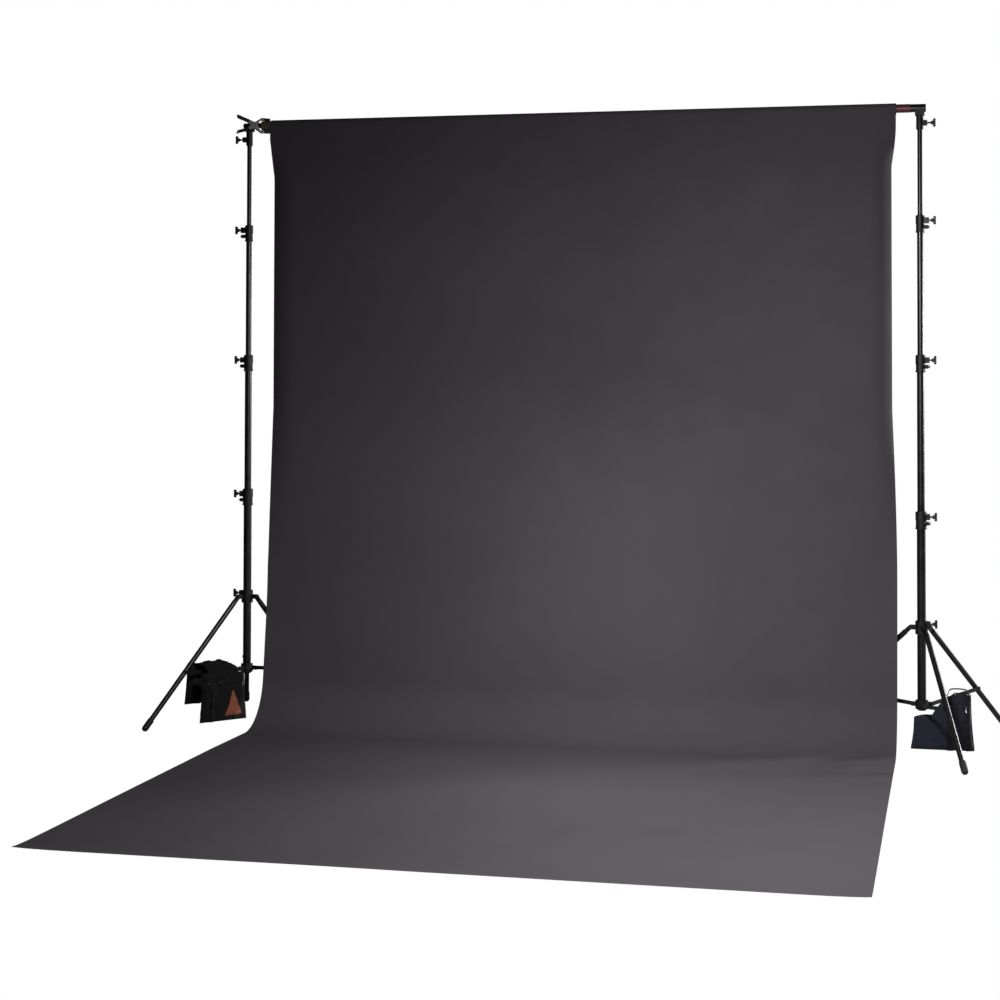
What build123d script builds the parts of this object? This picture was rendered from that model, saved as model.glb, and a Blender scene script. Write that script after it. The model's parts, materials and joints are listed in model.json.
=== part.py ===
from build123d import *
import math
import os

# Backdrop paper roll on a telescopic crossbar between two four-section stands.
# Frame: X along the crossbar, +Y behind the hanging paper, +Z up, floor at z = 0.
# Lengths in millimetres, angles in degrees.

# ---------------------------------------------------------------- driving dimensions
FIT = 0.3                     # radial gap between parts that slide or turn on each other
PIN_FIT = 0.08                # radial gap of a hinge pin in its hole

X_SHIFT = -22.0               # centres the footprint along X
BAR_Y = 994.0                 # crossbar plane, placed so that the footprint is centred along Y
COLUMN_X = {"left": X_SHIFT - 1444.0, "right": X_SHIFT + 1455.0}
OUTWARD = {"left": -1, "right": 1}

ROLL_Z = 2608.0               # axis of the paper roll
CORE_R = (19.0, 21.0)         # cardboard core, inner and outer radius
WOUND_R = 24.0                # outside of the wound paper
PAPER_W = 2700.0
PAPER_X = X_SHIFT + 10.0      # middle of the paper
CORE_STICKS_OUT = 45.0        # core past the paper at the left end
PAPER_T = 1.0
FRONT_EDGE = 2463.0           # front edge of the paper, forward of the bar plane
LEAN_Z = (750.0, 450.0, 200.0)  # the sheet starts to lean, leans straight, starts its floor bend
LEAN_ANGLE = 8.0

BAR_RADII = (16.5, 14.9, 13.3, 11.7)      # thick section at the right, thin at the left
BAR_WALL = 1.2
BAR_STEPS = (520.0, -150.0, -800.0)       # where each thicker section ends
BAR_OVERLAP = 120.0
BAR_OVERHANG = 20.0                       # bar end past the column axis
BAR_Z = ROLL_Z + CORE_R[0] - BAR_RADII[0] - FIT
SLEEVE_W = 55.0

TUBE_RADII = (17.5, 15.0, 12.5, 10.0)     # base tube, then the three telescoping tubes
TUBE_WALL = 1.5
COLLAR_H = 70.0
COLLAR_SOCKET = 34.0                      # how far the lower tube goes into its collar
COLLAR_TOPS = {"left": (1009.0, 1597.0, 2169.0), "right": (958.0, 1597.0, 2169.0)}
TUBE_BOTTOMS = (740.0, 1355.0, 1960.0)    # lower ends of tubes 2, 3 and 4
HEAD_H = 88.0

YOKE_Z = {"left": 540.0, "right": 489.0}
HUB_Z = {"left": 228.0, "right": 177.0}
YOKE_H = 53.0
HUB_H = 34.0
LEG_HINGE_R = 45.0
BRACE_HINGE_R = 40.0
LEG_LENGTH = 692.0
LEG_R = 11.0
FOOT_R = 13.0
BRACE_AT = 0.58                           # brace joint, as a share of the leg
BRACE_OFFSET = 14.0                       # inner face of a brace, beside the leg's middle plane
BRACE_T = 4.0
BRACE_W = 16.0
PIN_R = 3.0
TONGUE_T = 10.0
EAR_T = 5.0
EYE_R = 9.0
YOKE_TRAVEL = 340.0
LEG_AZIMUTHS = {"left": (230.0, 350.0, 110.0), "right": (288.0, 50.0, 170.0)}
BRACE_SIDE = {"left": 1, "right": -1}

KNOB_END = 64.0
KNOB_SHAFT_R = 4.0

CLAMP_X = PAPER_X - PAPER_W / 2 - 24.0    # jaws on the bare core, beside the paper
CLAMP_AZIMUTH = 222.0                     # the handles point outward and forward
CLAMP_PIVOT = 57.0                        # from the core's axis
CLAMP_JAW_Z = CORE_R[1] + FIT
CLAMP_PLATE = 2.0
CLAMP_PIN_R = 2.5

POUCH_FRONT = (225.0, 85.0, 215.0)        # left saddle bag, front pouch: length, thickness, height
POUCH_REAR = (225.0, 80.0, 175.0)
POUCH_R = 158.0                           # middle of the pouches from the column axis
POUCH_FRONT_Z = 22.0
POUCH_REAR_Z = 84.0
SADDLE = (70.0, 215.0, 270.0, 5.0)        # nearest and furthest from the column, top, thickness
BAG_RIGHT = (250.0, 118.0, 140.0)         # right bag: the low part under the hub
BAG_RIGHT_TOP = (122.0, 108.0, 236.0)     # the part that stands beside the column, up to its top
BAG_RIGHT_X = 82.0


# ---------------------------------------------------------------- small helpers
def ring(outer, inner, z_low, z_high):
    """A tube on the Z axis."""
    height = z_high - z_low
    body = Cylinder(outer, height, align=(Align.CENTER, Align.CENTER, Align.MIN))
    bore = Cylinder(inner, height + 2, align=(Align.CENTER, Align.CENTER, Align.MIN))
    return Pos(0, 0, z_low) * body - Pos(0, 0, z_low - 1) * bore


def rod_x(radius, x_low, x_high, z=0.0):
    """A solid rod along X."""
    rod = Cylinder(radius, x_high - x_low, align=(Align.CENTER, Align.CENTER, Align.MIN))
    return Pos(x_low, 0, z) * Rot(0, 90, 0) * rod


def rod_y(radius, y_low, y_high, x=0.0, z=0.0):
    """A solid rod along Y."""
    rod = Cylinder(radius, y_high - y_low, align=(Align.CENTER, Align.CENTER, Align.MIN))
    return Pos(x, y_low, z) * Rot(-90, 0, 0) * rod


def pipe_x(outer, inner, x_low, x_high):
    """A tube along X."""
    return rod_x(outer, x_low, x_high) - rod_x(inner, x_low - 1, x_high + 1)


def block(x_range, y_range, z_range):
    """A box given by its lowest and highest corners."""
    size = [high - low for low, high in (x_range, y_range, z_range)]
    middle = [(high + low) / 2 for low, high in (x_range, y_range, z_range)]
    return Pos(*middle) * Box(*size)


def plate_xz(points, y_low, y_high):
    """A polygon in the XZ plane, extruded along Y."""
    face = make_face(Polyline(*[(x, 0, z) for x, z in points], close=True))
    return Pos(0, y_low, 0) * extrude(face, amount=y_high - y_low, dir=(0, 1, 0))


def group(*shapes):
    """Several separate solids kept in one node."""
    solids = [solid for shape in shapes for solid in shape.solids()]
    return solids[0] if len(solids) == 1 else Compound(solids)


# ---------------------------------------------------------------- tripod geometry
def foot_radius(side):
    """Distance of a foot's centre from the column axis."""
    drop = YOKE_Z[side] - FOOT_R
    return LEG_HINGE_R + math.sqrt(LEG_LENGTH ** 2 - drop ** 2)


def leg_lean(side):
    """Angle between an open leg and the column."""
    return math.degrees(math.atan2(foot_radius(side) - LEG_HINGE_R, YOKE_Z[side] - FOOT_R))


def brace_joint(side):
    """The point on the leg, as radius and height, where its brace is fixed."""
    lean = math.radians(leg_lean(side))
    reach = BRACE_AT * LEG_LENGTH
    return LEG_HINGE_R + reach * math.sin(lean), YOKE_Z[side] - reach * math.cos(lean)


def fold_angles(side, travel):
    """How far the leg and the brace have turned when the yoke has risen by travel."""
    joint_r, joint_z = brace_joint(side)
    brace_run = joint_r - BRACE_HINGE_R
    brace_rise = joint_z - HUB_Z[side]
    brace_length = math.hypot(brace_run, brace_rise)
    leg_length = BRACE_AT * LEG_LENGTH
    apart_z = YOKE_Z[side] + travel - HUB_Z[side]
    apart_r = LEG_HINGE_R - BRACE_HINGE_R
    apart = math.hypot(apart_z, apart_r)
    tilt = math.degrees(math.atan2(apart_r, apart_z))
    at_yoke = math.degrees(math.acos((leg_length ** 2 + apart ** 2 - brace_length ** 2)
                                     / (2 * leg_length * apart)))
    at_hub = math.degrees(math.acos((brace_length ** 2 + apart ** 2 - leg_length ** 2)
                                    / (2 * brace_length * apart)))
    leg_turn = leg_lean(side) - (at_yoke - tilt)
    brace_start = math.degrees(math.atan2(brace_rise, brace_run))
    brace_turn = (90.0 - at_hub - tilt) - brace_start
    return leg_turn, brace_turn


# ---------------------------------------------------------------- stands
def t_knob(shaft_start):
    """A T-shaped clamp knob pointing along +X, with its screw."""
    screw = rod_x(KNOB_SHAFT_R, shaft_start, KNOB_END - 14)
    neck = rod_x(8.0, KNOB_END - 18, KNOB_END - 10)
    slot = SlotOverall(36.0, 13.0, rotation=90)
    grip = Pos(KNOB_END - 11, 0, 0) * extrude(Plane.YZ * slot, amount=11.0)
    return group(screw + neck + grip)


def collar(index):
    """A two-lobed clamp casting, its top face at z = 0, with the knob lobe towards +X."""
    lower = TUBE_RADII[index]
    upper = TUBE_RADII[index + 1]
    skirt = ring(lower + 4.0, lower, -COLLAR_H, -COLLAR_SOCKET)
    band = ring(lower + 5.5, lower, -COLLAR_H, -COLLAR_H + 7)
    neck = ring(lower + 5.5, upper + FIT, -COLLAR_SOCKET, 0)
    knob_lobe = block((upper + 2, 36), (-10, 10), (-32, -8))
    bolt_lobe = rod_x(8.0, upper + 3, 31, z=-47)
    bolt = rod_x(5.0, 30, 34, z=-47)
    body = skirt + band + neck + knob_lobe + bolt_lobe + bolt
    body -= Cylinder(upper + FIT, 200)
    body -= Pos(0, 0, -COLLAR_SOCKET - 50) * Cylinder(lower, 100)
    body -= rod_x(KNOB_SHAFT_R + FIT, 0, 60, z=-20)
    return body


def leg_yoke(side):
    """The sliding casting that the legs hang from, with its hinge pins, centred on z = 0."""
    inner = TUBE_RADII[0] + FIT
    body = ring(25.0, inner, -YOKE_H / 2, YOKE_H / 2)
    pins = []
    ear_low = TONGUE_T / 2 + FIT
    ear_high = ear_low + EAR_T
    for azimuth in LEG_AZIMUTHS[side]:
        for sign in (-1, 1):
            low, high = sorted((sign * ear_low, sign * ear_high))
            ear = block((20, LEG_HINGE_R), (low, high), (-EYE_R, EYE_R))
            ear += rod_y(EYE_R, low, high, x=LEG_HINGE_R)
            body += Rot(0, 0, azimuth) * ear
        pin = rod_y(PIN_R, -ear_high - 2, ear_high + 2, x=LEG_HINGE_R)
        body -= Rot(0, 0, azimuth) * pin
        pins.append(Rot(0, 0, azimuth) * pin)
    lobe = block((20, 36), (-8, 8), (2, YOKE_H / 2 - 1))
    lobe = Rot(0, 0, 90 - 90 * OUTWARD[side]) * lobe
    body += lobe
    body -= Cylinder(inner, 200)
    body -= Rot(0, 0, 90 - 90 * OUTWARD[side]) * rod_x(KNOB_SHAFT_R + FIT, 0, 60, z=14)
    return group(body, *pins)


def leg_hub(side):
    """The fixed lower casting that the braces hang from, with its pins, centred on z = 0."""
    body = ring(26.0, TUBE_RADII[0], -HUB_H / 2, HUB_H / 2)
    pins = []
    out = BRACE_SIDE[side]
    for azimuth in LEG_AZIMUTHS[side]:
        low, high = sorted((out * 6.0, out * (BRACE_OFFSET - FIT)))
        lug = block((18, BRACE_HINGE_R), (low, high), (-EYE_R, EYE_R))
        lug += rod_y(EYE_R, low, high, x=BRACE_HINGE_R)
        body += Rot(0, 0, azimuth) * lug
        low, high = sorted((out * 6.0, out * (BRACE_OFFSET + BRACE_T + 3)))
        pin = rod_y(PIN_R, low, high, x=BRACE_HINGE_R)
        head_low = BRACE_OFFSET + BRACE_T + FIT
        low, high = sorted((out * head_low, out * (head_low + 2.5)))
        head = rod_y(6.0, low, high, x=BRACE_HINGE_R)
        body -= Rot(0, 0, azimuth) * pin
        pins.append(Rot(0, 0, azimuth) * (pin + head))
    body -= Cylinder(TUBE_RADII[0], 200)
    return group(body, *pins)


def leg(side):
    """A leg hinged at the origin and pointing down -Z, with its tongue, rivet boss and foot cap."""
    tongue = block((-EYE_R, EYE_R), (-TONGUE_T / 2, TONGUE_T / 2), (-32, 0))
    tongue += rod_y(EYE_R, -TONGUE_T / 2, TONGUE_T / 2)
    plug = Pos(0, 0, -46) * Cylinder(LEG_R - 1.5, 36)
    pipe = ring(LEG_R, LEG_R - 1.5, -LEG_LENGTH, -28)
    body = tongue + plug + pipe
    body -= rod_y(PIN_R + PIN_FIT, -20, 20)
    out = BRACE_SIDE[side]
    low, high = sorted((out * (LEG_R - 3), out * (BRACE_OFFSET - FIT)))
    body += rod_y(7.0, low, high, z=-BRACE_AT * LEG_LENGTH)
    cap = Pos(0, 0, -LEG_LENGTH) * Sphere(FOOT_R)
    cap += ring(FOOT_R, LEG_R, -LEG_LENGTH, -LEG_LENGTH + 42)
    cap -= ring(LEG_R, LEG_R - 1.5, -LEG_LENGTH, -LEG_LENGTH + 50)
    return group(body, cap)


def brace(side):
    """A flat brace lying along +X from its hub pin at the origin, with its rivet at the far end."""
    joint_r, joint_z = brace_joint(side)
    length = math.hypot(joint_r - BRACE_HINGE_R, joint_z - HUB_Z[side])
    out = BRACE_SIDE[side]
    low, high = sorted((out * BRACE_OFFSET, out * (BRACE_OFFSET + BRACE_T)))
    strap = block((0, length), (low, high), (-BRACE_W / 2, BRACE_W / 2))
    strap += rod_y(BRACE_W / 2, low, high)
    strap += rod_y(BRACE_W / 2, low, high, x=length)
    strap -= rod_y(PIN_R + PIN_FIT, low - 1, high + 1)
    outer = BRACE_OFFSET + BRACE_T
    low, high = sorted((out * outer, out * (outer + 2.5)))
    return strap + rod_y(5.5, low, high, x=length)


def bar_head(side):
    """The top casting of a stand: a socket for the top tube, a cradle and a pin for the crossbar."""
    bar_r = BAR_RADII[0] if side == "right" else BAR_RADII[3]
    socket = ring(TUBE_RADII[3] + 4.5, TUBE_RADII[3], -HEAD_H, -bar_r - 14)
    cradle = block((-19, 19), (-bar_r - 4, bar_r + 4), (-bar_r - 14, -3))
    cradle -= rod_x(bar_r, -30, 30)
    lobe = block((6, 30), (-9, 9), (-72, -50))
    lobe = Rot(0, 0, 90 - 90 * OUTWARD[side]) * lobe
    pin = Pos(0, 0, -bar_r / 2) * Cylinder(4.6, bar_r + 6)
    body = socket + cradle + lobe
    body -= Pos(0, 0, -HEAD_H / 2 - bar_r / 2 - 7) * Cylinder(TUBE_RADII[3], HEAD_H - bar_r - 14)
    body -= Rot(0, 0, 90 - 90 * OUTWARD[side]) * rod_x(KNOB_SHAFT_R + FIT, 0, 60, z=-61)
    return body + pin


def stand(side):
    """All the nodes of one stand."""
    column = Pos(COLUMN_X[side], BAR_Y, 0)
    face = Rot(0, 0, 90 - 90 * OUTWARD[side])
    tops = COLLAR_TOPS[side]
    hub_z = HUB_Z[side]
    yoke_z = YOKE_Z[side]
    radii = TUBE_RADII
    bar_r = BAR_RADII[0] if side == "right" else BAR_RADII[3]
    tube_tops = [top - COLLAR_SOCKET for top in tops] + [BAR_Z - bar_r - 14]
    tube_bottoms = (hub_z - HUB_H / 2 - 4,) + TUBE_BOTTOMS
    nodes = {}
    for index, name in enumerate(("base_tube", "tube_2", "tube_3", "tube_4")):
        shape = ring(radii[index], radii[index] - TUBE_WALL, tube_bottoms[index], tube_tops[index])
        nodes[f"{side}_{name}"] = column * shape
    for index, top in enumerate(tops):
        nodes[f"{side}_collar_{index + 1}"] = column * Pos(0, 0, top) * face * collar(index)
        knob = t_knob(radii[index + 1] + 0.8)
        nodes[f"{side}_knob_{index + 1}"] = column * Pos(0, 0, top - 20) * face * knob
    nodes[f"{side}_head"] = column * Pos(0, 0, BAR_Z) * bar_head(side)
    nodes[f"{side}_knob_head"] = column * Pos(0, 0, BAR_Z - 61) * face * t_knob(radii[3] + 0.8)
    nodes[f"{side}_leg_yoke"] = column * Pos(0, 0, yoke_z) * leg_yoke(side)
    nodes[f"{side}_knob_yoke"] = column * Pos(0, 0, yoke_z + 14) * face * t_knob(radii[0] + 0.8)
    nodes[f"{side}_leg_hub"] = column * Pos(0, 0, hub_z) * leg_hub(side)
    joint_r, joint_z = brace_joint(side)
    rise = math.degrees(math.atan2(joint_z - hub_z, joint_r - BRACE_HINGE_R))
    for number, azimuth in enumerate(LEG_AZIMUTHS[side], start=1):
        turn = column * Rot(0, 0, azimuth)
        hinge = turn * Pos(LEG_HINGE_R, 0, yoke_z) * Rot(0, -leg_lean(side), 0)
        nodes[f"{side}_leg_{number}"] = hinge * leg(side)
        root = turn * Pos(BRACE_HINGE_R, 0, hub_z) * Rot(0, -rise, 0)
        nodes[f"{side}_brace_{number}"] = root * brace(side)
    return nodes


# ---------------------------------------------------------------- crossbar
def crossbar():
    """Four telescoping tubes, the plain sleeve and the two end plugs."""
    place = Pos(0, BAR_Y, BAR_Z)
    right_end = COLUMN_X["right"] + BAR_OVERHANG
    left_end = COLUMN_X["left"] - BAR_OVERHANG
    highs = [right_end] + [step + BAR_OVERLAP for step in BAR_STEPS]
    lows = list(BAR_STEPS) + [left_end]
    pin_holes = [Pos(x, 0, -10) * Cylinder(4.9, 60) for x in COLUMN_X.values()]
    nodes = {}
    for index, (low, high) in enumerate(zip(lows, highs)):
        radius = BAR_RADII[index]
        section = pipe_x(radius, radius - BAR_WALL, low, high)
        for hole in pin_holes:
            section -= hole
        nodes[f"crossbar_tube_{index + 1}"] = place * group(section)
    for side, end, radius in (("right", right_end, BAR_RADII[0]), ("left", left_end, BAR_RADII[3])):
        out = OUTWARD[side]
        low, high = sorted((end, end + out * 5.0))
        cap = rod_x(radius, low, high)
        low, high = sorted((end, end - out * 10.0))
        cap += rod_x(radius - BAR_WALL, low, high)
        nodes[f"crossbar_plug_{side}"] = place * cap
    sleeve_start = PAPER_X + PAPER_W / 2 + 3
    sleeve = pipe_x(BAR_RADII[0] + 1.0, BAR_RADII[0], sleeve_start, sleeve_start + SLEEVE_W)
    nodes["crossbar_sleeve"] = place * sleeve
    return nodes


# ---------------------------------------------------------------- paper
def sheet_profile(offset):
    """Centre line of the sheet as an edge list in the YZ plane, moved outward by offset.

    The line falls from the roll's front, leans forward, bends on the floor and runs to the front.
    """
    lean = math.radians(LEAN_ANGLE)
    front = WOUND_R + FIT + PAPER_T / 2 + offset
    lean_r = (LEAN_Z[0] - LEAN_Z[1]) / math.sin(lean) - offset
    floor_r = (LEAN_Z[2] - PAPER_T / 2) / (1 - math.sin(lean)) - offset
    start = (0, -front, ROLL_Z)
    lean_start = (0, -front, LEAN_Z[0])
    forward_lean = front + lean_r * (1 - math.cos(lean))
    lean_end = (0, -forward_lean, LEAN_Z[0] - lean_r * math.sin(lean))
    fall = (LEAN_Z[1] - LEAN_Z[2]) / math.cos(lean)
    bend_start = (0, lean_end[1] - fall * math.sin(lean), lean_end[2] - fall * math.cos(lean))
    middle = math.radians((LEAN_ANGLE + 90) / 2)

    def on_bend(angle):
        forward = floor_r * (math.cos(lean) - math.cos(angle))
        drop = floor_r * (math.sin(angle) - math.sin(lean))
        return (0, bend_start[1] - forward, bend_start[2] - drop)

    bend_end = on_bend(math.pi / 2)
    half = lean / 2
    lean_middle = (0, -front - lean_r * (1 - math.cos(half)), LEAN_Z[0] - lean_r * math.sin(half))
    front_end = (0, -FRONT_EDGE, bend_end[2])
    return [Line(start, lean_start),
            ThreePointArc(lean_start, lean_middle, lean_end),
            Line(lean_end, bend_start),
            ThreePointArc(bend_start, on_bend(middle), bend_end),
            Line(bend_end, front_end)]


def paper():
    """The core, the wound paper and the hanging and lying sheet."""
    left = PAPER_X - PAPER_W / 2
    right = PAPER_X + PAPER_W / 2
    axis = Pos(0, BAR_Y, ROLL_Z)
    outer = sheet_profile(PAPER_T / 2)
    inner = sheet_profile(-PAPER_T / 2)
    ends = [Line(outer[0] @ 0, inner[0] @ 0), Line(outer[-1] @ 1, inner[-1] @ 1)]
    section = make_face(Wire(outer + inner + ends))
    sheet = Pos(left, BAR_Y, 0) * extrude(section, amount=PAPER_W, dir=(1, 0, 0))
    return {
        "paper_core": axis * pipe_x(CORE_R[1], CORE_R[0], left - CORE_STICKS_OUT, right + 1),
        "paper_wound": axis * pipe_x(WOUND_R, CORE_R[1], left, right),
        "paper_sheet": sheet,
    }


# ---------------------------------------------------------------- spring clamp
def clamp_arm(mirror, cheek_low):
    """One stamped channel arm of the spring clamp, jaw at the origin end, handle along +X."""
    outline = [(-14, CLAMP_JAW_Z), (-14, 31), (24, 34), (CLAMP_PIVOT, 13), (100, 28), (138, 42),
               (140, 36), (102, 19), (CLAMP_PIVOT + 7, -7), (CLAMP_PIVOT - 7, -7), (34, CLAMP_JAW_Z)]
    web = [(-14, 29), (-14, 31), (24, 34), (CLAMP_PIVOT, 13), (100, 28), (138, 42),
           (138, 39.9), (100, 25.9), (CLAMP_PIVOT, 10.7), (24, 31.6)]
    jaw = [(-14, CLAMP_JAW_Z), (-14, CLAMP_JAW_Z + 2), (30, CLAMP_JAW_Z + 2), (30, CLAMP_JAW_Z)]
    flip = -1 if mirror else 1
    outline = [(x, flip * z) for x, z in outline]
    web = [(x, flip * z) for x, z in web]
    jaw = [(x, flip * z) for x, z in jaw]
    cheek_high = cheek_low + CLAMP_PLATE
    arm = plate_xz(outline, cheek_low, cheek_high) + plate_xz(outline, -cheek_high, -cheek_low)
    arm += plate_xz(web, -cheek_high, cheek_high)
    arm += plate_xz(jaw, -cheek_high, cheek_high)
    return arm


def spring_clamp():
    """The clamp that stops the roll: two arms, their pin and the torsion spring."""
    place = Pos(CLAMP_X, BAR_Y, ROLL_Z) * Rot(0, 0, CLAMP_AZIMUTH)
    hole = rod_y(CLAMP_PIN_R + PIN_FIT, -30, 30, x=CLAMP_PIVOT)
    pin = rod_y(CLAMP_PIN_R, -11, 11, x=CLAMP_PIVOT)
    pin += rod_y(4.2, -12.5, -10.6, x=CLAMP_PIVOT)
    pin += rod_y(4.2, 10.6, 12.5, x=CLAMP_PIVOT)
    spring = rod_y(6.5, -4.4, 4.4, x=CLAMP_PIVOT) - rod_y(CLAMP_PIN_R, -6, 6, x=CLAMP_PIVOT)
    return {
        "clamp_upper_arm": place * (clamp_arm(False, 5.0) - hole),
        "clamp_lower_arm": place * (clamp_arm(True, 7.5) - hole),
        "clamp_pin": place * pin,
        "clamp_spring": place * spring,
    }


# ---------------------------------------------------------------- sandbags
def pouch(size, z_low):
    """A filled pouch: a soft block with rounded edges, standing on z_low."""
    length, thickness, height = size
    body = Pos(0, 0, z_low + height / 2) * Box(length, thickness, height)
    return fillet(body.edges(), radius=0.3 * thickness)


def sandbags():
    """The saddle bag over the left stand's first brace, and the bag on the right stand."""
    azimuth = LEG_AZIMUTHS["left"][0]
    left = Pos(COLUMN_X["left"], BAR_Y, 0) * Rot(0, 0, azimuth)
    front_y = 30.0 + POUCH_FRONT[1] / 2
    rear_y = -(24.0 + POUCH_REAR[1] / 2)
    near, far, top, cloth = SADDLE
    saddle = block((near, far), (rear_y, front_y), (top - cloth, top))
    front_top = POUCH_FRONT_Z + POUCH_FRONT[2] + 0.5
    rear_top = POUCH_REAR_Z + POUCH_REAR[2] + 0.5
    saddle += block((near, far), (front_y - cloth, front_y), (front_top, top))
    saddle += block((near, far), (rear_y, rear_y + cloth), (rear_top, top))
    right = Pos(COLUMN_X["right"] + BAG_RIGHT_X, BAR_Y - 20, 0)
    high = pouch((BAG_RIGHT_TOP[0], BAG_RIGHT_TOP[1], BAG_RIGHT_TOP[2] - 40), 40)
    high_x = (BAG_RIGHT[0] - BAG_RIGHT_TOP[0]) / 2
    return {
        "sandbag_left_front": left * Pos(POUCH_R, front_y, 0) * pouch(POUCH_FRONT, POUCH_FRONT_Z),
        "sandbag_left_rear": left * Pos(POUCH_R, rear_y, 0) * pouch(POUCH_REAR, POUCH_REAR_Z),
        "sandbag_left_saddle": left * saddle,
        "sandbag_right": right * (pouch(BAG_RIGHT, 0) + Pos(high_x, 0, 0) * high),
    }


def build_nodes():
    """Every node of the assembly by name."""
    nodes = {}
    for side in ("left", "right"):
        nodes.update(stand(side))
    nodes.update(crossbar())
    nodes.update(paper())
    nodes.update(spring_clamp())
    nodes.update(sandbags())
    return nodes


def main():
    os.makedirs("parts", exist_ok=True)
    for name, shape in build_nodes().items():
        export_step(shape, f"parts/{name}.step")


if __name__ == "__main__":
    main()
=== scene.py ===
import bmesh
import bpy
import json
import math
from mathutils import Matrix, Vector, noise


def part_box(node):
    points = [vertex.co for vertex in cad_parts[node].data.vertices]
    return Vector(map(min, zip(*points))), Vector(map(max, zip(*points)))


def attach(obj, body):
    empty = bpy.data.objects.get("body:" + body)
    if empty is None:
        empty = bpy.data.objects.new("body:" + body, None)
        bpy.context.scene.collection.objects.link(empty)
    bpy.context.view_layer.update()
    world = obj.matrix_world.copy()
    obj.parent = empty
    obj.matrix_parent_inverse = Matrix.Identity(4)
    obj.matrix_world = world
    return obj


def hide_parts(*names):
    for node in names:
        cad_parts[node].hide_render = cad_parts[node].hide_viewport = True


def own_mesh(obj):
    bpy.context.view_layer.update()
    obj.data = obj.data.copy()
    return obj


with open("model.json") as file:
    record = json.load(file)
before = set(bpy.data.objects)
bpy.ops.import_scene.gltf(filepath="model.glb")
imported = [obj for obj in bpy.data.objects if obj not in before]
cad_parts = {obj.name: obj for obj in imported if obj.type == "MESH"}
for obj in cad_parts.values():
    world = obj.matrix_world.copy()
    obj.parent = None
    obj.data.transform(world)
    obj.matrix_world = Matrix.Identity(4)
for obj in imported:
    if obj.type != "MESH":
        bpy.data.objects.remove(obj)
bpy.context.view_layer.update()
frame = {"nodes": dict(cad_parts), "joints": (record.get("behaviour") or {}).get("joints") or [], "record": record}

UP = Vector((0, 0, 1))
OUTWARD = {"left": Vector((-1, 0, 0)), "right": Vector((1, 0, 0))}      # by the stand's side
JOINTS = {joint["name"]: joint for joint in frame["joints"]}

# Places that come from the frame.
SHEET_LOW, SHEET_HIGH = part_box("paper_sheet")
WOUND_LOW, WOUND_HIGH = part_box("paper_wound")
ROLL_AXIS = (WOUND_LOW + WOUND_HIGH) / 2
ROLL_R = (WOUND_HIGH.z - WOUND_LOW.z) / 2
PAPER_W = SHEET_HIGH.x - SHEET_LOW.x


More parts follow.
